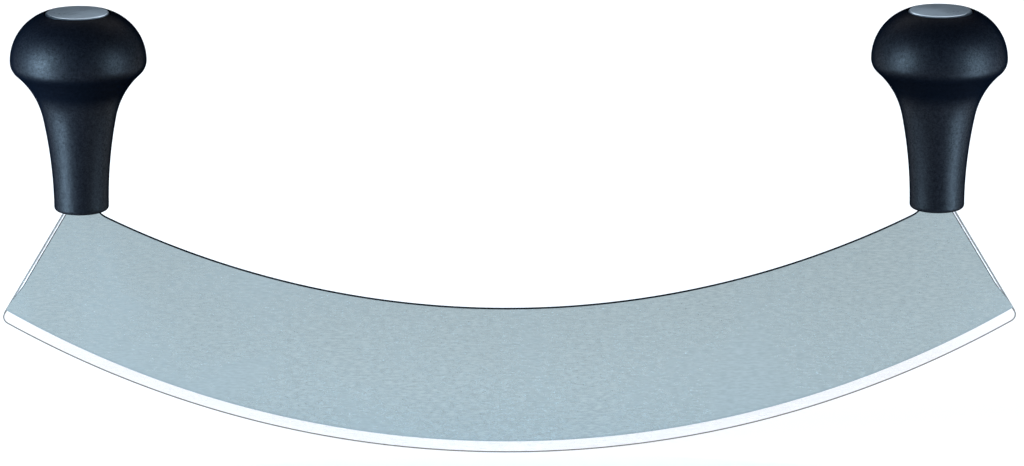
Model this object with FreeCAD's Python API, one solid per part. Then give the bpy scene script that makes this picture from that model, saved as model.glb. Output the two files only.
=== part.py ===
import FreeCAD, Part
import math
import os
from FreeCAD import Vector

# A single-blade mezzaluna: a crescent blade with an upright handle over each end.
# +X runs along the blade, +Y through its thickness, +Z up towards the handles.
# The origin is the lowest point of the cutting edge, at mid-length and mid-thickness.

# Blade
blade_length = 300.0  # tip to tip
blade_depth = 44.5  # cutting edge to spine at mid-length
blade_thickness = 2.0
edge_radius = 295.0  # rocking curve of the cutting edge
spine_radius = 264.0  # hollow curve of the spine
bevel_width = 3.7  # ground facet, measured along the blade's face
edge_land = 0.2  # thickness left at the cutting edge
tip_radius = 2.5
end_break_width = 0.6  # broken edge along the slanted end, at its widest by the handle
end_break_depth = 0.5
end_break_runout = 7.0  # plain stretch left between the broken edge and the tip

# Tang
tang_width = 5.0
tang_length = 30.0  # above the handle's foot
tang_root_drop = 1.2  # below the handle's foot, where the tang grows out of the blade
neck_radius = 9.0  # sweep from the spine up into the tang

# Handle
handle_inset = 3.1  # axis, inboard of the corner where the slanted end and the spine would meet
handle_drop = 3.05  # foot, below that same corner
knob_diameter = 40.0
knob_height = 45.05  # widest section above the foot
knob_dome_radius = 15.0
knob_rim_radius = 4.9  # round under the widest section
underside_radius = 24.6  # hollow sweep from the stem out to the knob
stem_radius = 135.0  # slow flare of the stem
foot_diameter = 16.1
foot_round = 1.2
crown_break = 0.3  # broken edge round the cap's recess

# Cap let into the crown
cap_diameter = 18.8
cap_wall = 0.6
cap_bend_radius = 0.2  # inside the drawn edge
cap_skirt = 4.0  # depth below the crown
cap_proud = 0.25  # edge of the top above the crown
cap_dome_rise = 0.3

# Fastening inside the handle
stud_diameter = 6.0
stud_lap = 18.0  # length of tang held in the stud's slot
stud_projection = 1.5  # above the nut
stud_chamfer = 0.6
washer_diameter = 12.0
washer_thickness = 1.6
nut_across_flats = 10.0
nut_height = 5.0
nut_chamfer_width = 0.5
nut_chamfer_height = 0.3

# Clearances
neck_clearance = 0.15  # blade's neck in the mouth of the handle
bore_clearance = 0.2  # stud in the handle and in the washer
thread_clearance = 0.1  # stud in the nut
weld_clearance = 0.05  # tang in the stud's slot
pocket_clearance = 0.2  # washer in its pocket
cap_clearance = 0.1  # cap in its recess
overrun = 5.0  # how far a cutting shape passes the surface that it cuts

half_thickness = blade_thickness / 2
half_land = edge_land / 2
half_tang = tang_width / 2

# The slanted ends point at the centre of the edge curve, and the tips reach half the blade's length
spine_centre_z = blade_depth + spine_radius
tip_circle = edge_radius - tip_radius
tip_angle = math.asin((blade_length / 2 - tip_radius) / tip_circle)
end_angle = tip_angle + math.asin(tip_radius / tip_circle)

# Corner where the slanted end would meet the spine: the handles are set out from it
centre_offset = spine_centre_z - edge_radius
offset_along_end = centre_offset * math.cos(end_angle)
corner_reach = math.sqrt(offset_along_end**2 - centre_offset**2 + spine_radius**2) - offset_along_end
handle_x = corner_reach * math.sin(end_angle) - handle_inset
foot_z = edge_radius - corner_reach * math.cos(end_angle) - handle_drop

# Tang, and the sweep from the spine into its inner side
tang_inner_x = handle_x - half_tang
tang_outer_x = handle_x + half_tang
shoulder_z = edge_radius - tang_outer_x / math.tan(end_angle)
neck_centre_x = tang_inner_x - neck_radius
neck_centre_z = spine_centre_z - math.sqrt((spine_radius - neck_radius) ** 2 - neck_centre_x**2)

# Mouth of the handle, as wide as the neck is at the handle's foot
mouth_outer_x = (edge_radius - foot_z) * math.tan(end_angle) + neck_clearance
mouth_inner_x = neck_centre_x + math.sqrt(neck_radius**2 - (neck_centre_z - foot_z) ** 2) - neck_clearance
mouth_top = max(neck_centre_z, shoulder_z) - foot_z + neck_clearance

# Radii and levels inside the handle, which stands on its foot at level zero
knob_radius = knob_diameter / 2
foot_radius = foot_diameter / 2
cap_radius = cap_diameter / 2
recess_radius = cap_radius + cap_clearance
crown_radius = recess_radius + crown_break
stud_radius = stud_diameter / 2
bore_radius = stud_radius + bore_clearance
washer_radius = washer_diameter / 2
pocket_radius = washer_radius + pocket_clearance
dome_centre_x = knob_radius - knob_dome_radius
crown_level = knob_height + math.sqrt(knob_dome_radius**2 - (crown_radius - dome_centre_x) ** 2)
recess_floor = crown_level - cap_skirt
nut_seat = recess_floor - nut_height
washer_seat = nut_seat - washer_thickness
stud_top = recess_floor + stud_projection
stud_foot = tang_length - stud_lap
cap_level = crown_level + cap_proud


def at(x, z):
    return Vector(x, 0, z)


def polyline(*points):
    return [Part.LineSegment(start, end).toShape() for start, end in zip(points, points[1:])]


def arc(centre, start, end):
    # the shorter arc about centre from start to end
    middle = start + end - centre * 2
    return Part.Arc(start, centre + middle.normalize() * (start - centre).Length, end).toShape()


def turned(edges):
    # solid of revolution about the Z axis from a closed outline in the XZ plane
    return Part.Face(Part.Wire(edges)).revolve(at(0, 0), Vector(0, 0, 1), 360)


def mirrored(shape):
    return shape.mirror(at(0, 0), Vector(1, 0, 0))


def on_end_line(reach):
    # point of the right-hand slanted end, at that distance from the centre of the edge curve
    return at(reach * math.sin(end_angle), edge_radius - reach * math.cos(end_angle))


edge_centre = at(0, edge_radius)
spine_centre = at(0, spine_centre_z)
neck_centre = at(neck_centre_x, neck_centre_z)
shoulder = at(tang_outer_x, shoulder_z)
tip_centre = at(tip_circle * math.sin(tip_angle), edge_radius - tip_circle * math.cos(tip_angle))
edge_end = edge_centre + (tip_centre - edge_centre) * (edge_radius / tip_circle)
neck_start = spine_centre + (neck_centre - spine_centre) * (spine_radius / (spine_radius - neck_radius))


def end_outline():
    # right-hand end of the blade, from the cutting edge round the tip and the tang to the spine
    end_start = on_end_line(math.sqrt(tip_circle**2 - tip_radius**2))
    tang_top_z = foot_z + tang_length
    neck_end = at(tang_inner_x, neck_centre_z)
    sides = polyline(end_start, shoulder, at(tang_outer_x, tang_top_z), at(tang_inner_x, tang_top_z), neck_end)
    return [arc(tip_centre, edge_end, end_start), *sides, arc(neck_centre, neck_end, neck_start)]


def grinding_ring():
    # ring with a conical face that takes the bevel off one side of the edge
    slope = (half_thickness - half_land) / bevel_width
    inside = Vector(edge_radius - bevel_width - overrun, half_thickness + overrun * slope, edge_radius)
    outside = Vector(edge_radius + overrun, half_land - overrun * slope, edge_radius)
    corner = Vector(outside.x, inside.y, edge_radius)
    face = Part.Face(Part.makePolygon([inside, outside, corner, inside]))
    return face.revolve(edge_centre, Vector(0, 1, 0), 360)


def end_break():
    # slim pyramid that breaks one edge of the right-hand end and runs out before the tip
    face_side = Vector(0, half_thickness, 0)
    outward = Vector(math.cos(end_angle), 0, math.sin(end_angle))
    tip = on_end_line(edge_radius - end_break_runout) + face_side
    top = shoulder + face_side
    on_face = top - outward * end_break_width
    on_end = top - Vector(0, end_break_depth, 0)
    beyond = top + outward * end_break_width + Vector(0, end_break_depth, 0)
    corners = [(on_face, on_end, beyond), (tip, on_end, on_face), (tip, beyond, on_end), (tip, on_face, beyond)]
    faces = [Part.Face(Part.makePolygon([*corner, corner[0]])) for corner in corners]
    return Part.Solid(Part.Shell(faces))


def blade():
    right_end = end_outline()
    left_end = [mirrored(edge) for edge in right_end]
    edge_curve = Part.Arc(mirrored(Part.Vertex(edge_end)).Point, at(0, 0), edge_end).toShape()
    spine_curve = Part.Arc(neck_start, at(0, blade_depth), mirrored(Part.Vertex(neck_start)).Point).toShape()
    outline = Part.Wire(Part.__sortEdges__([edge_curve, *right_end, spine_curve, *left_end]))
    plate = Part.Face(outline).extrude(Vector(0, blade_thickness, 0))
    plate.translate(Vector(0, -half_thickness, 0))
    right_break = end_break()
    cutters = [grinding_ring(), right_break, mirrored(right_break)]
    other_side = [cutter.mirror(at(0, 0), Vector(0, 1, 0)) for cutter in cutters]
    ground = plate.cut(cutters + other_side)
    # the tangs keep a root line of their own, so that each flat of the blade is a face by itself
    root = Vector(-blade_length, -blade_thickness, foot_z - tang_root_drop)
    above_root = Part.makeBox(blade_length * 2, blade_thickness * 2, tang_length * 2, root)
    return ground.cut(above_root).fuse(ground.common(above_root))


def handle():
    stem_centre = at(foot_radius + stem_radius, foot_round)
    rim_centre = at(knob_radius - knob_rim_radius, knob_height)
    # the underside sweep touches both the stem's flare and the round of the rim
    to_rim = rim_centre - stem_centre
    span = to_rim.Length
    stem_reach = stem_radius - underside_radius
    rim_reach = knob_rim_radius + underside_radius
    along = (stem_reach**2 - rim_reach**2 + span**2) / (span * 2)
    aside = math.sqrt(stem_reach**2 - along**2)
    to_rim.normalize()
    underside_centre = stem_centre + to_rim * along + at(-to_rim.z, to_rim.x) * aside
    stem_end = stem_centre + (underside_centre - stem_centre) * (stem_radius / stem_reach)
    rim_start = rim_centre + (underside_centre - rim_centre) * (knob_rim_radius / rim_reach)

    foot_edge = at(foot_radius - foot_round, 0)
    foot_side = at(foot_radius, foot_round)
    widest = at(knob_radius, knob_height)
    crown = at(crown_radius, crown_level)
    outside = [
        arc(at(foot_edge.x, foot_round), foot_edge, foot_side),
        arc(stem_centre, foot_side, stem_end),
        arc(underside_centre, stem_end, rim_start),
        arc(rim_centre, rim_start, widest),
        arc(at(dome_centre_x, knob_height), widest, crown),
    ]
    inside = polyline(
        crown,
        at(recess_radius, crown_level - crown_break),
        at(recess_radius, recess_floor),
        at(pocket_radius, recess_floor),
        at(pocket_radius, washer_seat),
        at(bore_radius, washer_seat),
        at(bore_radius, mouth_top),
        at(0, mouth_top),
        at(0, 0),
        foot_edge,
    )
    half_mouth = half_thickness + neck_clearance
    corner = Vector(mouth_inner_x - handle_x, -half_mouth, -overrun)
    mouth = Part.makeBox(mouth_outer_x - mouth_inner_x, half_mouth * 2, mouth_top + overrun, corner)
    return turned(outside + inside).cut(mouth)


def tang_stud():
    body = turned(polyline(
        at(0, stud_foot),
        at(stud_radius, stud_foot),
        at(stud_radius, stud_top - stud_chamfer),
        at(stud_radius - stud_chamfer, stud_top),
        at(0, stud_top),
        at(0, stud_foot),
    ))
    half_slot = half_thickness + weld_clearance
    corner = Vector(-stud_diameter, -half_slot, stud_foot - overrun)
    slot = Part.makeBox(stud_diameter * 2, half_slot * 2, stud_lap + weld_clearance + overrun, corner)
    return body.cut(slot)


def washer():
    return turned(polyline(
        at(bore_radius, washer_seat),
        at(washer_radius, washer_seat),
        at(washer_radius, nut_seat),
        at(bore_radius, nut_seat),
        at(bore_radius, washer_seat),
    ))


def nut():
    sides = 6
    corner_radius = nut_across_flats / 2 / math.cos(math.pi / sides)
    hole_radius = stud_radius + thread_clearance
    spin = [math.pi * 2 * side / sides for side in range(sides + 1)]
    corners = [Vector(corner_radius * math.cos(a), corner_radius * math.sin(a), nut_seat) for a in spin]
    hexagon = Part.Face(Part.makePolygon(corners)).extrude(Vector(0, 0, nut_height))
    blank = turned(polyline(
        at(hole_radius, nut_seat),
        at(corner_radius - nut_chamfer_width, nut_seat),
        at(corner_radius, nut_seat + nut_chamfer_height),
        at(corner_radius, recess_floor - nut_chamfer_height),
        at(corner_radius - nut_chamfer_width, recess_floor),
        at(hole_radius, recess_floor),
        at(hole_radius, nut_seat),
    ))
    return hexagon.common(blank)


def end_cap():
    # drawn cup of even wall: its skirt stands on the floor of the recess
    outer_bend_radius = cap_bend_radius + cap_wall
    top_radius = cap_radius - outer_bend_radius
    bend_level = cap_level - outer_bend_radius
    dome_radius = (top_radius**2 + cap_dome_rise**2) / (cap_dome_rise * 2)
    dome_centre = at(0, cap_level + cap_dome_rise - dome_radius)
    bend_centre = at(top_radius, bend_level)
    inner_radius = cap_radius - cap_wall
    down = at(0, -cap_wall)
    top_edge = at(top_radius, cap_level)
    peak = at(0, cap_level + cap_dome_rise)
    return turned([
        arc(dome_centre, peak, top_edge),
        arc(bend_centre, top_edge, at(cap_radius, bend_level)),
        *polyline(at(cap_radius, bend_level), at(cap_radius, recess_floor), at(inner_radius, recess_floor),
                  at(inner_radius, bend_level)),
        arc(bend_centre, at(inner_radius, bend_level), top_edge + down),
        arc(dome_centre + down, top_edge + down, peak + down),
        *polyline(peak + down, peak),
    ])


pieces = {"blade": blade()}
for make in (handle, tang_stud, washer, nut, end_cap):
    right = make()
    right.translate(at(handle_x, foot_z))
    pieces["right_" + make.__name__] = right
    pieces["left_" + make.__name__] = mirrored(right)

os.makedirs("parts", exist_ok=True)
for name, shape in pieces.items():
    shape.exportStep("parts/" + name + ".step")
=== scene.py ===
import math

import bmesh
import bpy
from mathutils import Matrix, Vector


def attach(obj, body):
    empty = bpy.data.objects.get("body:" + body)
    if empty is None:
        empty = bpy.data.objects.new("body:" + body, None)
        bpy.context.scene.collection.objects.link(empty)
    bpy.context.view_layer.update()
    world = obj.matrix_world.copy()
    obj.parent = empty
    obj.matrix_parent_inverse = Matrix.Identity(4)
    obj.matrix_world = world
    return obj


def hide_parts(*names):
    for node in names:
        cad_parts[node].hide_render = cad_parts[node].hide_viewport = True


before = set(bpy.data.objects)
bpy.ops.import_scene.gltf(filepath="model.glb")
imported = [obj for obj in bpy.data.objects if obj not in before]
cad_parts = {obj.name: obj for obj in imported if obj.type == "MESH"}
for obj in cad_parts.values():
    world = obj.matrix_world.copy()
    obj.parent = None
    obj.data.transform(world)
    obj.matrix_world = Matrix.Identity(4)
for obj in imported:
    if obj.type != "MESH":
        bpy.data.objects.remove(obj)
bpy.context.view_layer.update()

print("frame loaded:", len(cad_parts), "nodes")
sides = {"left": -1, "right": 1}


# small helpers for node trees

nodeStep = 200


def addNode(tree, kind, inputs=None, **settings):
    # a node to the right of the one before, with its inputs set or linked
    node = tree.nodes.new(kind)
    node.location.x = nodeStep * len(tree.nodes)
    for name, value in settings.items():
        setattr(node, name, value)
    for key, value in (inputs or {}).items():
        if isinstance(value, bpy.types.NodeSocket):
            tree.links.new(value, node.inputs[key])
        else:
            node.inputs[key].default_value = value
    return node.outputs


def newGroup(name, kind, inputs, outputs):
    group = bpy.data.node_groups.new(name, kind)
    for way, sockets in (("INPUT", inputs), ("OUTPUT", outputs)):
        for label, sort in sockets.items():
            group.interface.new_socket(name=label, in_out=way, socket_type="NodeSocket" + sort)
    return group, addNode(group, "NodeGroupInput")


def giveOut(group, values):
    addNode(group, "NodeGroupOutput", values)
    return group


def placeGroup(tree, group, inputs):
    return addNode(tree, "ShaderNodeGroup", inputs, node_tree=group)


def calc(tree, operation, first, second=None, clamp=False):
    inputs = {0: first} if second is None else {0: first, 1: second}
    return addNode(tree, "ShaderNodeMath", inputs, operation=operation, use_clamp=clamp)[0]


def rootOfSquares(tree, first, second):
    squares = [calc(tree, "MULTIPLY", value, value) for value in (first, second)]
    return calc(tree, "SQRT", calc(tree, "ADD", *squares))


def remap(tree, value, fromMin, fromMax, toMin, toMax, smooth=False):
    inputs = {"Value": value, "From Min": fromMin, "From Max": fromMax, "To Min": toMin, "To Max": toMax}
    easing = "SMOOTHSTEP" if smooth else "LINEAR"
    return addNode(tree, "ShaderNodeMapRange", inputs, interpolation_type=easing)["Result"]


def blendColour(tree, share, first, second):
    inputs = {0: share, 6: first, 7: second}  # the node's colour sockets, which share names with others
    return addNode(tree, "ShaderNodeMix", inputs, data_type="RGBA")[2]


def splitPlace(tree, place):
    return tuple(addNode(tree, "ShaderNodeSeparateXYZ", {0: place}))


def joinPlace(tree, x, y, z):
    return addNode(tree, "ShaderNodeCombineXYZ", {0: x, 1: y, 2: z})[0]


def noise(tree, place, scale, look):
    inputs = {"Vector": place, "Scale": scale, "Detail": look["detail"], "Roughness": look["roughness"],
              "Distortion": look["distortion"]}
    return addNode(tree, "ShaderNodeTexNoise", inputs)[0]


def twoNoises(tree, place, look):
    # a fine and a broad noise, each with its share
    layers = []
    for word in ("fine", "broad"):
        layer = noise(tree, place, look[word + "Scale"], look)
        layers.append(calc(tree, "MULTIPLY", layer, look[word + "Share"]))
    return calc(tree, "ADD", *layers)


# effects that more than one finish uses

swayLook = {
    "scale": 70,
    "middle": 0.5,  # what the noise gives on average
    "detail": 1.0,
    "roughness": 0.5,
    "distortion": 0.0,
}
lineLook = {
    "fineScale": 1.0,
    "fineShare": 0.75,
    "broadScale": 0.45,
    "broadShare": 0.25,
    "detail": 1.0,
    "roughness": 0.6,
    "distortion": 0.0,
    "toneFrom": 0.26,
    "toneTo": 0.74,
}
smearLook = {
    "detail": 3.0,
    "roughness": 0.5,
    "distortion": 0.6,
    "maskFrom": 0.35,
    "maskTo": 0.70,
}


def buildBrushedLines(look, wander):
    # short scratches along X of the place that comes in, drifting a little as a grinding belt does
    group, source = newGroup(
        "brushedLines", "ShaderNodeTree",
        {"Place": "Vector", "Line Length": "Float", "Line Width": "Float", "Drift": "Float"},
        {"Tone": "Float", "Height": "Float"})
    x, y, z = splitPlace(group, source["Place"])
    sway = calc(group, "SUBTRACT", noise(group, source["Place"], wander["scale"], wander), wander["middle"])
    level = calc(group, "ADD", z, calc(group, "MULTIPLY", sway, source["Drift"]))
    stretched = joinPlace(group, calc(group, "DIVIDE", x, source["Line Length"]),
                          calc(group, "DIVIDE", y, source["Line Width"]),
                          calc(group, "DIVIDE", level, source["Line Width"]))
    lines = twoNoises(group, stretched, look)
    tone = remap(group, lines, look["toneFrom"], look["toneTo"], 0.0, 1.0, smooth=True)
    return giveOut(group, {"Tone": tone, "Height": lines})


def buildSmears(look):
    # broad soft patches that fingers and drying leave
    group, source = newGroup(
        "smears", "ShaderNodeTree", {"Place": "Vector", "Size": "Float"}, {"Mask": "Float"})
    cloud = noise(group, source["Place"], calc(group, "DIVIDE", 1.0, source["Size"]), look)
    mask = remap(group, cloud, look["maskFrom"], look["maskTo"], 0.0, 1.0, smooth=True)
    return giveOut(group, {"Mask": mask})


def buildAroundAxis():
    # run round an upright axis (X), nothing (Y) and run out and up from it (Z), the same for both handles
    group, source = newGroup(
        "aroundAxis", "ShaderNodeTree",
        {"Place": "Vector", "Axis X": "Float", "Turn Length": "Float"}, {"Place": "Vector"})
    x, y, z = splitPlace(group, source["Place"])
    aside = calc(group, "SUBTRACT", calc(group, "ABSOLUTE", x), source["Axis X"])
    run = calc(group, "MULTIPLY", calc(group, "ARCTAN2", y, aside), source["Turn Length"])
    rise = calc(group, "ADD", rootOfSquares(group, aside, y), z)
    return giveOut(group, {"Place": joinPlace(group, run, 0.0, rise)})


def buildRimDistance():
    # how far in from the blade's outline a place lies (Rim) and how far from the cutting edge alone (Depth)
    group, source = newGroup(
        "rimDistance", "ShaderNodeTree",
        {"Place": "Vector", "Edge Radius": "Float", "End Angle": "Float", "Tip Radius": "Float"},
        {"Rim": "Float", "Depth": "Float"})
    x, _, z = splitPlace(group, source["Place"])
    aside = calc(group, "ABSOLUTE", x)
    drop = calc(group, "SUBTRACT", source["Edge Radius"], z)
    depth = calc(group, "SUBTRACT", source["Edge Radius"], rootOfSquares(group, aside, drop))
    inward = calc(group, "MULTIPLY", drop, calc(group, "SINE", source["End Angle"]))
    outward = calc(group, "MULTIPLY", aside, calc(group, "COSINE", source["End Angle"]))
    corner = []
    for value in (depth, calc(group, "SUBTRACT", inward, outward)):
        corner.append(calc(group, "MAXIMUM", calc(group, "SUBTRACT", source["Tip Radius"], value), 0.0))
    rim = calc(group, "SUBTRACT", source["Tip Radius"], rootOfSquares(group, *corner))
    return giveOut(group, {"Rim": rim, "Depth": depth})


brushedLines = buildBrushedLines(lineLook, swayLook)
smears = buildSmears(smearLook)
aroundAxis = buildAroundAxis()
rimDistance = buildRimDistance()


def newMaterial(name):
    material = bpy.data.materials.new(name)
    material.use_nodes = True
    material.node_tree.nodes.clear()
    return material, material.node_tree


def giveShader(tree, height, bumpDistance, inputs):
    bump = addNode(tree, "ShaderNodeBump", {"Distance": bumpDistance, "Height": height})
    shader = addNode(tree, "ShaderNodeBsdfPrincipled", {**inputs, "Normal": bump[0]})
    addNode(tree, "ShaderNodeOutputMaterial", {0: shader[0]})


def steelFinish(name, look, outline=None):
    material, tree = newMaterial(name)
    place = addNode(tree, "ShaderNodeTexCoord")["Object"]
    if "axisX" in look:
        place = placeGroup(tree, aroundAxis, {"Place": place, "Axis X": look["axisX"],
                                              "Turn Length": look["turnLength"]})["Place"]
    lines = placeGroup(tree, brushedLines, {"Place": place, "Line Length": look["lineLength"],
                                            "Line Width": look["lineWidth"], "Drift": look["drift"]})
    mask = placeGroup(tree, smears, {"Place": place, "Size": look["smearSize"]})["Mask"]
    colour = blendColour(tree, lines["Tone"], look["dark"], look["light"])
    colour = blendColour(tree, calc(tree, "MULTIPLY", mask, look["smearTone"]), colour, look["smearColour"])
    smoothest, roughest = look["roughness"]
    rough = remap(tree, lines["Tone"], 0.0, 1.0, roughest, smoothest)
    rough = calc(tree, "ADD", rough, calc(tree, "MULTIPLY", mask, look["smearRoughness"]))
    if "band" in look:
        band = look["band"]
        rim = placeGroup(tree, rimDistance, {"Place": place, **outline})[band["from"]]
        share = remap(tree, rim, band["width"], band["width"] + band["fade"], band["strength"], 0.0)
        colour = blendColour(tree, share, colour, band["colour"])
        rough = calc(tree, "ADD", rough, calc(tree, "MULTIPLY", share, band["rougher"]))
    inputs = {"Metallic": 1.0, "Base Color": colour, "Roughness": rough}
    if "slantTint" in look:
        inputs["Specular Tint"] = look["slantTint"]
    giveShader(tree, lines["Height"], look["bump"], inputs)
    return material


# blade: a crescent with a ground bevel, a margin scribed along each slanted end and a tang for each handle

bladeSizes = {
    "length": 0.300,
    "depth": 0.0445,
    "thickness": 0.002,
    "edgeRadius": 0.295,
    "spineRadius": 0.264,
    "bevelWidth": 0.0037,
    "edgeLand": 0.0002,  # thickness left at the cutting edge
    "tipRadius": 0.0025,
    "marginWidth": 0.00100,  # shallow margin along the slanted end, with the scribed line on its inner side
    "marginDepth": 0.00015,
    "marginRunout": 0.006,  # how far above the cutting edge it starts
    "marginTaper": 0.0065,  # from there to its full width
    "scribeWidth": 0.00024,
    "scribeDepth": 0.00003,
    "tangWidth": 0.005,
    "tangLength": 0.030,
    "neckRadius": 0.009,
    "handleInset": 0.0031,  # the handle's axis from the corner of spine and slanted end
    "handleDrop": 0.00305,  # the handle's foot below that corner
    "columns": 90,  # half the crescent, up to the neck
    "rows": 10,  # from the bevel to the spine
    "endColumns": 8,
    "tipColumns": 14,
    "neckRows": 12,
    "tangRows": 4,
    "weld": 2e-7,  # points this close become one
    "speck": 1e-8,  # edges this short are dropped
    "sharpAngle": 8,
}
faceLook = {
    "dark": (0.378, 0.445, 0.458, 1),
    "light": (0.470, 0.551, 0.568, 1),
    "roughness": (0.22, 0.28),
    "lineLength": 0.0023,
    "lineWidth": 0.00050,
    "drift": 0.0006,
    "bump": 0.00001,
    "smearColour": (0.424, 0.498, 0.513, 1),
    "smearTone": 0.15,
    "smearSize": 0.045,
    "smearRoughness": 0.06,
    "band": {  # a darker band on the face just above the bevel
        "from": "Depth",
        "width": 0.0041,
        "fade": 0.0002,
        "strength": 0.50,
        "colour": (0.30, 0.37, 0.40, 1),
        "rougher": 0.05,
    },
}
# steel for the bevel and the margins at the slanted ends, painted near white: its pale colour is partly
# painted highlight, on top of the floor's real reflection
bevelLook = {
    "dark": (0.92, 0.865, 0.845, 1),
    "light": (0.98, 0.93, 0.91, 1),
    "roughness": (0.20, 0.28),
    "lineLength": 0.004,
    "lineWidth": 0.0003,
    "drift": 0.0003,
    "bump": 0.00001,
    "smearColour": (0.90, 0.845, 0.83, 1),
    "smearTone": 0.1,
    "smearSize": 0.03,
    "smearRoughness": 0.06,
    "band": {  # the honed line along the edge, round the tips and up the slanted ends, its dark colour partly painted shade that outlines the rim
        "from": "Rim",
        "width": 0.00036,
        "fade": 0.0001,
        "strength": 0.95,
        "colour": (0.135, 0.12, 0.105, 1),
        "rougher": 0.10,
    },
}
# steel for spine, walls, edge land and scribed line, painted near black: painted shade for the dark lines
# these narrow faces show
shadedEdgeLook = {
    "dark": (0.04, 0.048, 0.055, 1),
    "light": (0.07, 0.08, 0.088, 1),
    "roughness": (0.18, 0.26),
    "slantTint": (0.25, 0.27, 0.29, 1),  # keeps the steel dark where it is seen at a slant
    "lineLength": 0.003,
    "lineWidth": 0.0003,
    "drift": 0.0003,
    "bump": 0.00001,
    "smearColour": (0.055, 0.062, 0.068, 1),
    "smearTone": 0.2,
    "smearSize": 0.02,
    "smearRoughness": 0.06,
}
face, bevel, edge = 0, 1, 2  # the blade's finishes in the order of its materials; the edge finish is painted dark as shade


def onArc(centreX, centreZ, radius, angle):
    # angle from straight down
    return centreX + radius * math.sin(angle), centreZ - radius * math.cos(angle)


def spread(start, end, count):
    return [start + (end - start) * i / count for i in range(count + 1)]


def between(start, end, share):
    return start[0] + (end[0] - start[0]) * share, start[1] + (end[1] - start[1]) * share


def setOut(size):
    # the few places that the blade and both handles start from
    at = {"spineCentre": size["depth"] + size["spineRadius"]}
    at["tipCircle"] = size["edgeRadius"] - size["tipRadius"]
    at["tipAngle"] = math.asin((size["length"] / 2 - size["tipRadius"]) / at["tipCircle"])
    at["endAngle"] = at["tipAngle"] + math.asin(size["tipRadius"] / at["tipCircle"])
    at["bevelTop"] = size["edgeRadius"] - size["bevelWidth"]
    at["offset"] = at["spineCentre"] - size["edgeRadius"]
    alongEnd = at["offset"] * math.cos(at["endAngle"])
    corner = math.sqrt(alongEnd ** 2 - at["offset"] ** 2 + size["spineRadius"] ** 2) - alongEnd
    at["handleX"] = corner * math.sin(at["endAngle"]) - size["handleInset"]
    at["footZ"] = size["edgeRadius"] - corner * math.cos(at["endAngle"]) - size["handleDrop"]
    at["tangIn"] = at["handleX"] - size["tangWidth"] / 2
    at["tangOut"] = at["handleX"] + size["tangWidth"] / 2
    at["tangTop"] = at["footZ"] + size["tangLength"]
    at["shoulderZ"] = size["edgeRadius"] - at["tangOut"] / math.tan(at["endAngle"])
    at["neckX"] = at["tangIn"] - size["neckRadius"]
    neckReach = math.sqrt((size["spineRadius"] - size["neckRadius"]) ** 2 - at["neckX"] ** 2)
    at["neckZ"] = at["spineCentre"] - neckReach
    at["neckAngle"] = math.atan2(at["neckX"], neckReach)
    neckStart = onArc(0, at["spineCentre"], size["spineRadius"], at["neckAngle"])
    at["startAngle"] = math.atan2(neckStart[0], size["edgeRadius"] - neckStart[1])
    return at


def neckLine(size, at):
    # up the neck's sweep and the tang's inner side
    angles = spread(at["neckAngle"], math.pi / 2, size["neckRows"])[1:]
    line = [onArc(at["neckX"], at["neckZ"], size["neckRadius"], angle) for angle in angles]
    return line + [(at["tangIn"], z) for z in spread(at["neckZ"], at["tangTop"], size["tangRows"])[1:]]


def endLine(size, at):
    # up the slanted end and the tang's outer side, with the share of the margin's full width at each row
    low = onArc(0, size["edgeRadius"], at["bevelTop"], at["endAngle"])
    shoulder = at["tangOut"], at["shoulderZ"]
    line = [between(low, shoulder, share) for share in spread(0, 1, size["rows"] + size["neckRows"])]
    runout = size["edgeRadius"] - size["marginRunout"]
    shares = []
    for x, z in line:
        share = (runout - math.hypot(x, size["edgeRadius"] - z)) / size["marginTaper"]
        shares.append(min(max(share, 0), 1))
    line += [(at["tangOut"], z) for z in spread(at["shoulderZ"], at["tangTop"], size["tangRows"])[1:]]
    return line, shares + [0] * size["tangRows"]


def setIn(line, shares, width, angle):
    # a line moved in from the slanted end by its share of a width
    return [(x - width * share * math.cos(angle), z - width * share * math.sin(angle))
            for (x, z), share in zip(line, shares)]


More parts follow.
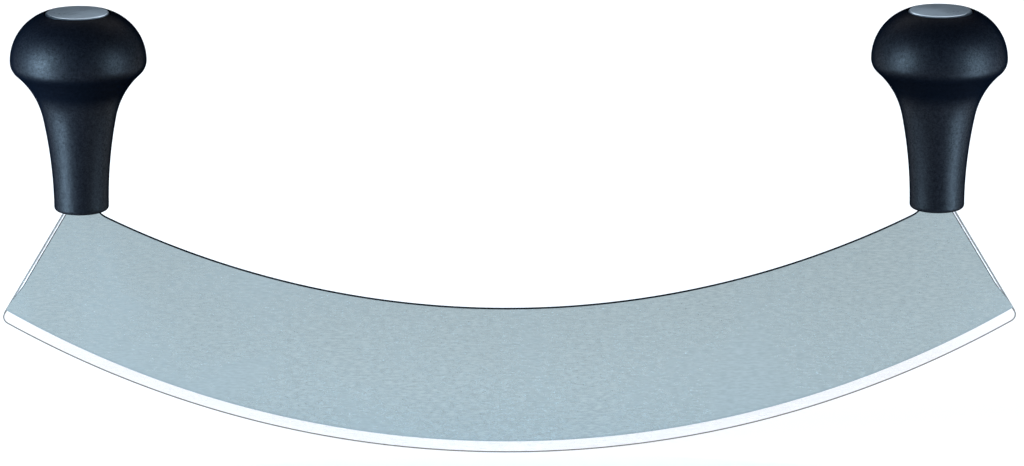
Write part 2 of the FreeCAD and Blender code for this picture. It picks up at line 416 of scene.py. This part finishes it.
def buildBlade(size, at):
    # one quarter, right-hand end and front face, mirrored twice
    bm = bmesh.new()
    half, edgeZ = size["thickness"] / 2, size["edgeRadius"]

    def point(x, z, y=-half):
        return bm.verts.new((x, y, z))

    def strip(outer, inner, finish):
        for i in range(len(outer) - 1):
            bm.faces.new((outer[i], outer[i + 1], inner[i + 1], inner[i])).material_index = finish

    # crescent: columns that point at the edge's centre
    crescentAngles = spread(0, at["startAngle"], size["columns"])
    columns = []
    for angle in crescentAngles:
        aside = at["offset"] * math.sin(angle)
        reach = math.sqrt(size["spineRadius"] ** 2 - aside ** 2) - at["offset"] * math.cos(angle)
        low, high = onArc(0, edgeZ, at["bevelTop"], angle), onArc(0, edgeZ, reach, angle)
        columns.append([point(*between(low, high, share)) for share in spread(0, 1, size["rows"])])

    # end: from the last column, the neck and the tang's inner side across to the slanted end
    first = columns[-1] + [point(x, z) for x, z in neckLine(size, at)]
    startLine = [(v.co.x, v.co.z) for v in first]
    slant, shares = endLine(size, at)
    marginLine = setIn(slant, shares, size["marginWidth"], at["endAngle"])
    tipAngles = spread(at["startAngle"], at["tipAngle"], size["endColumns"])[1:]
    tipAngles += spread(at["tipAngle"], at["endAngle"], size["tipColumns"])[1:]
    ends = [first]
    for angle in tipAngles:
        across = (angle - at["startAngle"]) / (at["endAngle"] - at["startAngle"])
        low, chord = onArc(0, edgeZ, at["bevelTop"], angle), between(startLine[0], slant[0], across)
        column = []
        for row, (start, end) in enumerate(zip(startLine, marginLine)):
            fade = max(1 - row / size["rows"], 0)  # the bend of the bevel line fades out upwards
            x, z = between(start, end, across)
            column.append(point(x + (low[0] - chord[0]) * fade, z + (low[1] - chord[1]) * fade))
        ends.append(column)
    for block in (columns, ends):
        rows = list(zip(*block))
        for lower, upper in zip(rows, rows[1:]):
            strip(lower, upper, face)

    # bevel and cutting edge, with the tip's round at the end
    slope = (half - size["edgeLand"] / 2) / size["bevelWidth"]
    rim, rimMiddle = [], []
    for angle in crescentAngles + tipAngles:
        lean = max(angle - at["tipAngle"], 0)
        reach = edgeZ
        if lean:
            beyond = size["tipRadius"] ** 2 - (at["tipCircle"] * math.sin(lean)) ** 2
            reach = at["tipCircle"] * math.cos(lean) + math.sqrt(max(beyond, 0))
        x, z = onArc(0, edgeZ, reach, angle)
        rim.append(point(x, z, -size["edgeLand"] / 2 - (edgeZ - reach) * slope))
        rimMiddle.append(point(x, z, 0))
    # the bevel is in its steel painted near white, partly painted highlight
    strip(rim, [column[0] for column in columns + ends[1:]], bevel)
    # the edge land is in the edge steel painted dark as shade
    strip(rimMiddle, rim, edge)

    # slanted end: scribed line, margin and wall; the scribed line and the wall are in the edge steel painted
    # dark as shade
    scribeLine = setIn(slant, shares, size["marginWidth"] - size["scribeWidth"], at["endAngle"])
    scribe = [point(x, z, -half + size["scribeDepth"] * share) for (x, z), share in zip(scribeLine, shares)]
    wall = [point(x, z, -half + size["marginDepth"] * share) for (x, z), share in zip(slant, shares)]
    wallMiddle = [point(x, z, 0) for x, z in slant]
    strip(scribe, ends[-1], edge)
    # the margin is in the bevel steel painted near white, partly painted highlight
    strip(wall, scribe, bevel)
    strip(wallMiddle, wall, edge)
    strip([rimMiddle[-1], wallMiddle[0]], [rim[-1], wall[0]], edge)

    # walls of spine, neck and tang, in the edge steel painted dark as shade
    spine = [column[-1] for column in columns] + first[size["rows"] + 1:]
    spine += [column[-1] for column in ends[1:]]
    strip(spine, [point(v.co.x, v.co.z, 0) for v in spine], edge)

    for axis in "YX":  # welded once both are done
        whole = bm.verts[:] + bm.edges[:] + bm.faces[:]
        bmesh.ops.mirror(bm, geom=whole, matrix=Matrix.Identity(4), merge_dist=-1, axis=axis)
    bmesh.ops.remove_doubles(bm, verts=bm.verts, dist=size["weld"])
    bmesh.ops.dissolve_degenerate(bm, edges=bm.edges, dist=size["speck"])
    return bm


def newPiece(name, work, mesh, sharpAngle):
    # faces outwards, smooth but for the sharp edges
    bmesh.ops.recalc_face_normals(work, faces=work.faces)
    openEdges = sum(not line.is_manifold for line in work.edges)
    work.to_mesh(mesh)
    work.free()
    mesh.shade_smooth()
    mesh.set_sharp_from_angle(angle=math.radians(sharpAngle))
    piece = bpy.data.objects.new(name, mesh)
    bpy.context.scene.collection.objects.link(piece)
    print(name + ":", len(mesh.polygons), "faces,", openEdges, "open edges")
    return piece


layout = setOut(bladeSizes)
bladeOutline = {
    "Edge Radius": bladeSizes["edgeRadius"],
    "End Angle": layout["endAngle"],
    "Tip Radius": bladeSizes["tipRadius"],
}
bladeMesh = bpy.data.meshes.new("bladeMesh")
bladeMesh.materials.append(steelFinish("brushed face", faceLook, bladeOutline))
bladeMesh.materials.append(steelFinish("ground bevel painted bright", bevelLook, bladeOutline))
bladeMesh.materials.append(steelFinish("edge steel painted dark", shadedEdgeLook))
crescent = newPiece("crescent_blade", buildBlade(bladeSizes, layout), bladeMesh, bladeSizes["sharpAngle"])
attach(crescent, "root")
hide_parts("blade")


# turned pieces: a profile swept round an upright axis, and in a handle a mouth cut for the blade's neck

turning = {
    "coreRadius": 0.001,  # ring that carries the profile
    "poleGap": 1e-6,  # points this close on the axis become one
    "noMouth": ((1, 1, 1), (0, 0, 0)),  # the block's size and centre where nothing is cut
}


def buildTurning(poleGap):
    tree, source = newGroup(
        "turnedPiece", "GeometryNodeTree",
        {"Profile": "Object", "Steps": "Int", "Core Radius": "Float", "Axis": "Vector", "Cut Mouth": "Bool",
         "Mouth Size": "Vector", "Mouth Centre": "Vector", "Finish": "Material"},
        {"Geometry": "Geometry"})
    profile = addNode(tree, "GeometryNodeObjectInfo", {"Object": source["Profile"]})
    ring = addNode(tree, "GeometryNodeCurvePrimitiveCircle",
                   {"Resolution": source["Steps"], "Radius": source["Core Radius"]})
    sweep = addNode(tree, "GeometryNodeCurveToMesh",
                    {"Curve": ring["Curve"], "Profile Curve": profile["Geometry"]})
    closed = addNode(tree, "GeometryNodeMergeByDistance", {"Geometry": sweep[0], "Distance": poleGap})
    stand = addNode(tree, "GeometryNodeTransform", {"Geometry": closed[0], "Translation": source["Axis"]})
    block = addNode(tree, "GeometryNodeMeshCube", {"Size": source["Mouth Size"]})
    mouth = addNode(tree, "GeometryNodeTransform",
                    {"Geometry": block[0], "Translation": source["Mouth Centre"]})
    cut = addNode(tree, "GeometryNodeMeshBoolean", {"Mesh 1": stand[0], "Mesh 2": mouth[0]},
                  operation="DIFFERENCE", solver="EXACT")
    chosen = addNode(tree, "GeometryNodeSwitch",
                     {"Switch": source["Cut Mouth"], "False": stand[0], "True": cut["Mesh"]},
                     input_type="GEOMETRY")
    real = addNode(tree, "GeometryNodeRealizeInstances", {0: chosen[0]})
    painted = addNode(tree, "GeometryNodeSetMaterial", {"Geometry": real[0], "Material": source["Finish"]})
    return giveOut(tree, {"Geometry": painted[0]})


turnedPiece = buildTurning(turning["poleGap"])


def drawProfile(name, outline):
    curve = bpy.data.curves.new(name, "CURVE")
    curve.dimensions = "3D"
    spline = curve.splines.new("POLY")
    spline.points.add(len(outline) - 1)
    for point, (x, z) in zip(spline.points, outline):
        point.co = (x - turning["coreRadius"], -z, 0, 1)  # the sweep takes the profile's Y downwards
    return bpy.data.objects.new(name, curve)


def turnOnAxis(name, outline, finish, size, side, mouth=None):
    drawn = drawProfile(name + "Profile", outline)
    host = bpy.data.objects.new(name + "Host", bpy.data.meshes.new(name + "Host"))
    for item in (drawn, host):
        bpy.context.scene.collection.objects.link(item)
    mouthSize, mouthCentre = mouth or turning["noMouth"]
    values = {
        "Profile": drawn,
        "Steps": size["steps"],
        "Core Radius": turning["coreRadius"],
        "Axis": (side * layout["handleX"], 0, layout["footZ"]),
        "Cut Mouth": mouth is not None,
        "Mouth Size": mouthSize,
        "Mouth Centre": mouthCentre,
        "Finish": finish,
    }
    modifier = host.modifiers.new("turning", "NODES")
    modifier.node_group = turnedPiece
    for item in turnedPiece.interface.items_tree:
        if item.in_out == "INPUT":
            modifier[item.identifier] = values[item.name]
    graph = bpy.context.evaluated_depsgraph_get()
    mesh = bpy.data.meshes.new_from_object(host.evaluated_get(graph))
    mesh.name = name
    host.modifiers.remove(modifier)
    bpy.data.objects.remove(host)
    bpy.data.objects.remove(drawn)
    work = bmesh.new()
    work.from_mesh(mesh)
    piece = newPiece(name, work, mesh, size["sharpAngle"])
    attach(piece, "root")
    return piece


def bend(centre, start, end, count):
    # the shorter arc about centre, without its first point
    radius = math.dist(centre, start)
    first = math.atan2(start[1] - centre[1], start[0] - centre[0])
    turn = math.atan2(end[1] - centre[1], end[0] - centre[0]) - first
    turn = (turn + math.pi) % (2 * math.pi) - math.pi
    return [(centre[0] + radius * math.cos(angle), centre[1] + radius * math.sin(angle))
            for angle in spread(first, first + turn, count)[1:]]


# handles: moulded plastic, a mushroom knob on a flared stem

handleSizes = {
    "knobRadius": 0.020,
    "knobHeight": 0.04505,
    "domeRadius": 0.015,
    "rimRadius": 0.0049,
    "undersideRadius": 0.0246,
    "stemRadius": 0.135,
    "footRadius": 0.00805,
    "footRound": 0.0012,
    "crownBreak": 0.0003,
    "recessRadius": 0.0095,
    "recessDepth": 0.004,
    "pocketRadius": 0.0062,
    "pocketDepth": 0.0066,
    "boreRadius": 0.0032,
    "boreLap": 0.0005,  # how far the bore runs down into the mouth
    "mouthClearance": 0.00015,
    "mouthOverrun": 0.005,  # how far the mouth's cut starts below the foot
    "footSteps": 8,
    "stemSteps": 26,
    "undersideSteps": 22,
    "rimSteps": 16,
    "domeSteps": 28,
    "steps": 160,
    "sharpAngle": 30,
}


def handleOutline(size, mouthTop):
    crownRadius = size["recessRadius"] + size["crownBreak"]
    domeX = size["knobRadius"] - size["domeRadius"]
    crown = size["knobHeight"] + math.sqrt(size["domeRadius"] ** 2 - (crownRadius - domeX) ** 2)
    stem = (size["footRadius"] + size["stemRadius"], size["footRound"])
    rim = (size["knobRadius"] - size["rimRadius"], size["knobHeight"])
    # the underside's circle touches the stem's from inside and the rim's from outside
    span = math.dist(stem, rim)
    stemReach = size["stemRadius"] - size["undersideRadius"]
    rimReach = size["rimRadius"] + size["undersideRadius"]
    along = (stemReach ** 2 - rimReach ** 2 + span ** 2) / (2 * span)
    aside = math.sqrt(stemReach ** 2 - along ** 2)
    stepX, stepZ = (rim[0] - stem[0]) / span, (rim[1] - stem[1]) / span
    under = (stem[0] + stepX * along - stepZ * aside, stem[1] + stepZ * along + stepX * aside)
    stemEnd = between(stem, under, size["stemRadius"] / stemReach)
    rimStart = between(rim, under, size["rimRadius"] / rimReach)
    footEdge, footSide = (size["footRadius"] - size["footRound"], 0), (size["footRadius"], size["footRound"])
    widest = (size["knobRadius"], size["knobHeight"])
    floor = crown - size["recessDepth"]
    seat = floor - size["pocketDepth"]
    boreEnd = mouthTop - size["boreLap"]
    outline = [(0, 0), footEdge]
    outline += bend((footEdge[0], size["footRound"]), footEdge, footSide, size["footSteps"])
    outline += bend(stem, footSide, stemEnd, size["stemSteps"])
    outline += bend(under, stemEnd, rimStart, size["undersideSteps"])
    outline += bend(rim, rimStart, widest, size["rimSteps"])
    outline += bend((domeX, size["knobHeight"]), widest, (crownRadius, crown), size["domeSteps"])
    outline += [(size["recessRadius"], crown - size["crownBreak"]), (size["recessRadius"], floor)]
    outline += [(size["pocketRadius"], floor), (size["pocketRadius"], seat)]
    outline += [(size["boreRadius"], seat), (size["boreRadius"], boreEnd), (0, boreEnd)]
    return outline, crown


def setOutMouth(size, at, clear):
    # inner and outer side of the cut that clears the blade's neck, and its top above the foot
    neckReach = math.sqrt(size["neckRadius"] ** 2 - (at["neckZ"] - at["footZ"]) ** 2)
    outside = (size["edgeRadius"] - at["footZ"]) * math.tan(at["endAngle"]) + clear
    top = max(at["neckZ"], at["shoulderZ"]) - at["footZ"] + clear
    return at["neckX"] + neckReach - clear, outside, top


plasticLook = {
    "dark": (0.0006, 0.0009, 0.0016, 1),
    "light": (0.0011, 0.0017, 0.0031, 1),
    "roughness": 0.6,
    "shine": 0.0,  # all the gloss is in the skin's polish
    "grain": {
        "fineScale": 3000,
        "fineShare": 0.6,
        "broadScale": 1300,
        "broadShare": 0.4,
        "detail": 2.0,
        "roughness": 0.6,
        "distortion": 0.0,
        "toneFrom": 0.35,
        "toneTo": 0.65,
    },
    "grainBump": 0.0001,
    "smearSize": 0.02,
    "smearRoughness": 0.08,
    "polish": 0.42,
    "polishIor": 1.3,
    "polishRoughness": 0.48,
    "polishGrain": (0.4, 1.6),  # on the grain's dark and light places
    "slantBlend": 0.5,
    "slantFrom": 0.42,  # the polish is lost at a slant
    "slantTo": 0.80,
    "slantKeep": 0.02,
    "crownFrom": 0.0058,  # these heights are taken upwards from the knob's widest ring
    "crownTo": 0.0145,
    "crownKeep": 0.15,
    "hollowFrom": 0.0002,
    "hollowTo": -0.0030,
    "hollowKeep": 0.10,
    "stemFrom": -0.008,
    "stemTo": -0.014,
}


def mouldedPlastic(name, look, widestZ):
    material, tree = newMaterial(name)
    place = addNode(tree, "ShaderNodeTexCoord")["Object"]
    grain = look["grain"]
    speckle = twoNoises(tree, place, grain)
    tone = remap(tree, speckle, grain["toneFrom"], grain["toneTo"], 0.0, 1.0)
    mask = placeGroup(tree, smears, {"Place": place, "Size": look["smearSize"]})["Mask"]
    rough = calc(tree, "ADD", calc(tree, "MULTIPLY", mask, look["smearRoughness"]), look["roughness"])
    facing = addNode(tree, "ShaderNodeLayerWeight", {"Blend": look["slantBlend"]})["Facing"]
    lost = look["polish"] * look["slantKeep"]
    polish = remap(tree, facing, look["slantFrom"], look["slantTo"], look["polish"], lost, smooth=True)
    polish = calc(tree, "MULTIPLY", polish, remap(tree, tone, 0.0, 1.0, *look["polishGrain"]))
    height = calc(tree, "SUBTRACT", splitPlace(tree, place)[2], widestZ)
    # gloss painted by height: the coat is cut on the crown and in a band under the knob, as painted shade
    # there
    keeps = {}
    for word, start, end in (("crown", 1.0, look["crownKeep"]), ("hollow", 1.0, look["hollowKeep"]),
                             ("stem", look["hollowKeep"], 1.0)):
        keeps[word] = remap(tree, height, look[word + "From"], look[word + "To"], start, end, smooth=True)
    glossPaintedByHeight = calc(tree, "MULTIPLY", keeps["crown"], calc(tree, "MAXIMUM", keeps["hollow"], keeps["stem"]))
    giveShader(tree, speckle, look["grainBump"], {
        "Base Color": blendColour(tree, tone, look["dark"], look["light"]),
        "Roughness": rough,
        "Specular IOR Level": look["shine"],
        "Coat Weight": calc(tree, "MULTIPLY", polish, glossPaintedByHeight, clamp=True),
        "Coat Roughness": look["polishRoughness"],
        "Coat IOR": look["polishIor"],
    })
    return material


plastic = mouldedPlastic("moulded plastic", plasticLook, layout["footZ"] + handleSizes["knobHeight"])
clear, overrun = handleSizes["mouthClearance"], handleSizes["mouthOverrun"]
mouthIn, mouthOut, mouthTop = setOutMouth(bladeSizes, layout, clear)
mouthSize = (mouthOut - mouthIn, bladeSizes["thickness"] + 2 * clear, mouthTop + overrun)
gripOutline, crown = handleOutline(handleSizes, mouthTop)
for word, side in sides.items():
    mouthCentre = (side * (mouthOut + mouthIn) / 2, 0, layout["footZ"] + (mouthTop - overrun) / 2)
    grip = turnOnAxis(word + "_grip", gripOutline, plastic, handleSizes, side, (mouthSize, mouthCentre))
    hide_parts(word + "_handle")


# caps: drawn steel cups pressed into the crowns

capSizes = {
    "radius": 0.0094,
    "wall": 0.0006,
    "bendRadius": 0.0002,
    "skirt": 0.004,
    "proud": 0.00025,
    "domeRise": 0.0003,
    "domeSteps": 14,
    "bendSteps": 10,
    "innerBendSteps": 6,
    "innerDomeSteps": 8,
    "steps": 128,
    "sharpAngle": 30,
}
# the caps' steel colour is set dark, with a dark slant tint: painted shade for the dark look the caps have
# from the front
capLook = {
    "dark": (0.185, 0.222, 0.258, 1),
    "light": (0.197, 0.234, 0.271, 1),
    "roughness": (0.27, 0.30),
    "slantTint": (0.29, 0.30, 0.31, 1),
    "lineLength": 0.006,
    "lineWidth": 0.0002,
    "drift": 0.0002,
    "bump": 0.000001,
    "smearColour": (0.180, 0.217, 0.252, 1),
    "smearTone": 0.2,
    "smearSize": 0.012,
    "smearRoughness": 0.06,
    "axisX": layout["handleX"],
    "turnLength": 0.006,
}


def capOutline(size, crown):
    outer, wall = size["bendRadius"] + size["wall"], size["wall"]
    topRadius, level = size["radius"] - outer, crown + size["proud"]
    top = level + size["domeRise"]
    domeZ = top - (topRadius ** 2 + size["domeRise"] ** 2) / (2 * size["domeRise"])
    bendCentre = (topRadius, level - outer)
    inner, floor = size["radius"] - wall, crown - size["skirt"]
    outline = [(0, top)]
    outline += bend((0, domeZ), (0, top), (topRadius, level), size["domeSteps"])
    outline += bend(bendCentre, (topRadius, level), (size["radius"], level - outer), size["bendSteps"])
    outline += [(size["radius"], floor), (inner, floor), (inner, level - outer)]
    outline += bend(bendCentre, (inner, level - outer), (topRadius, level - wall), size["innerBendSteps"])
    outline += bend((0, domeZ - wall), (topRadius, level - wall), (0, top - wall), size["innerDomeSteps"])
    return outline


capSteel = steelFinish("cap steel painted dark", capLook)
for word, side in sides.items():
    cap = turnOnAxis(word + "_crown_cap", capOutline(capSizes, crown), capSteel, capSizes, side)
    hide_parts(word + "_end_cap")


# fastening inside the handles keeps its CAD shapes

fastenerLook = {
    "dark": (0.42, 0.43, 0.43, 1),
    "light": (0.60, 0.61, 0.60, 1),
    "roughness": (0.30, 0.42),
    "lineLength": 0.004,
    "lineWidth": 0.0002,
    "drift": 0.0002,
    "bump": 0.000008,
    "smearColour": (0.55, 0.52, 0.44, 1),
    "smearTone": 0.3,
    "smearSize": 0.004,
    "smearRoughness": 0.06,
    "axisX": layout["handleX"],
    "turnLength": 0.003,
}
fastenerSteel = steelFinish("fastener steel", fastenerLook)
for word in sides:
    for item in ("tang_stud", "washer", "nut"):
        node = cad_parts[word + "_" + item]
        node.data.materials.clear()
        node.data.materials.append(fastenerSteel)
print("fastening dressed")


# floor, light and camera

stageLook = {
    "floorReach": 40.0,
    "floorColour": (0.30, 0.30, 0.30, 1),
    "floorGlow": 0.70,
    "horizonColour": (0.23, 0.28, 0.34, 1),
    "zenithColour": (0.10, 0.10, 0.11, 1),
    "zenithFrom": 0.9,  # how far up the sky has its upper colour
}
coolLight = (0.51, 0.755, 1.0)
paleLight = (0.70, 0.85, 1.0)
whiteLight = (1.0, 1.0, 1.0)
lamps = {
    "leftPanel": {"place": (-0.80, -0.26, 0.31), "aim": (-0.40, 0.0, 0.29), "size": (0.55, 0.56),
                  "power": 10.4, "spread": 54, "colour": coolLight},
    "rightPanel": {"place": (0.80, -0.26, 0.31), "aim": (0.40, 0.0, 0.29), "size": (0.55, 0.56),
                   "power": 5.1, "spread": 54, "colour": coolLight},
    "leftTray": {"place": (-0.38, -0.12, 0.003), "aim": (-0.38, -0.12, 1.0), "size": (0.24, 0.12),
                 "power": 6.6, "spread": 180, "colour": coolLight},
    "rightTray": {"place": (0.38, -0.12, 0.003), "aim": (0.38, -0.12, 1.0), "size": (0.24, 0.12),
                  "power": 5.5, "spread": 180, "colour": coolLight},
    "backPanel": {"place": (0.0, 0.9, 0.9), "aim": (0.0, 0.45, 0.0), "size": (1.0, 0.5),
                  "power": 13.0, "spread": 180, "colour": whiteLight},
    "topStrip": {"place": (0.0, 0.03, 0.6), "aim": (0.0, 0.0, 0.08), "size": (0.5, 0.06),
                 "power": 0.30, "spread": 180, "colour": paleLight},
}
cameraView = {
    "lens": 193.46,
    "sensor": 36.0,
    "target": (0.000789, 0.0, 0.06766),
    "distance": 1.6236,
    "elevation": 14.893,
    "azimuth": -0.035,
    "roll": -0.1375,
}


def buildFloor(look):
    reach = look["floorReach"]
    corners = [(-reach, -reach, 0), (reach, -reach, 0), (reach, reach, 0), (-reach, reach, 0)]
    mesh = bpy.data.meshes.new("floorMesh")
    mesh.from_pydata(corners, [], [(0, 1, 2, 3)])
    floor = bpy.data.objects.new("floor", mesh)
    bpy.context.scene.collection.objects.link(floor)
    material, tree = newMaterial("pale floor")
    paths = addNode(tree, "ShaderNodeLightPath")
    seen = calc(tree, "MAXIMUM", paths["Is Camera Ray"], paths["Is Glossy Ray"])
    seen = calc(tree, "MAXIMUM", seen, paths["Is Transmission Ray"])
    glow = addNode(tree, "ShaderNodeEmission", {"Strength": calc(tree, "MULTIPLY", seen, look["floorGlow"])})
    matt = addNode(tree, "ShaderNodeBsdfDiffuse", {"Color": look["floorColour"]})
    both = addNode(tree, "ShaderNodeAddShader", {0: matt[0], 1: glow[0]})
    addNode(tree, "ShaderNodeOutputMaterial", {0: both[0]})
    mesh.materials.append(material)


def buildWorld(look):
    world = bpy.data.worlds.new("studio")
    bpy.context.scene.world = world
    world.use_nodes = True
    tree = world.node_tree
    tree.nodes.clear()
    height = splitPlace(tree, addNode(tree, "ShaderNodeTexCoord")["Generated"])[2]
    rise = remap(tree, height, 0.0, look["zenithFrom"], 0.0, 1.0)
    colour = blendColour(tree, rise, look["horizonColour"], look["zenithColour"])
    sky = addNode(tree, "ShaderNodeBackground", {"Color": colour})
    addNode(tree, "ShaderNodeOutputWorld", {0: sky[0]})


def buildLamp(name, lamp):
    data = bpy.data.lights.new(name, "AREA")
    data.shape = "RECTANGLE"
    data.size, data.size_y = lamp["size"]
    data.energy, data.color = lamp["power"], lamp["colour"]
    data.spread = math.radians(lamp["spread"])
    item = bpy.data.objects.new(name, data)
    item.location = lamp["place"]
    aim = Vector(lamp["aim"]) - Vector(lamp["place"])
    item.rotation_euler = aim.to_track_quat("-Z", "Y").to_euler()
    item.visible_camera = False
    bpy.context.scene.collection.objects.link(item)


def buildCamera(view):
    rise, swing, roll = (math.radians(view[word]) for word in ("elevation", "azimuth", "roll"))
    level = math.cos(rise)
    back = Vector((math.sin(swing) * level, -math.cos(swing) * level, math.sin(rise)))
    right = Vector((math.cos(swing), math.sin(swing), 0))
    up = back.cross(right)
    rolledRight = right * math.cos(roll) + up * math.sin(roll)
    rolledUp = up * math.cos(roll) - right * math.sin(roll)
    camera = bpy.data.objects.new("camera", bpy.data.cameras.new("camera"))
    camera.data.lens, camera.data.sensor_width = view["lens"], view["sensor"]
    camera.data.sensor_fit = "HORIZONTAL"
    turn = Matrix((rolledRight, rolledUp, back)).transposed().to_4x4()
    camera.matrix_world = Matrix.Translation(Vector(view["target"]) + back * view["distance"]) @ turn
    bpy.context.scene.collection.objects.link(camera)
    bpy.context.scene.camera = camera


buildFloor(stageLook)
buildWorld(stageLook)
for name, lamp in lamps.items():
    buildLamp(name, lamp)
buildCamera(cameraView)
bpy.context.scene.view_settings.view_transform = "Standard"
print("stage, lamps and camera placed")
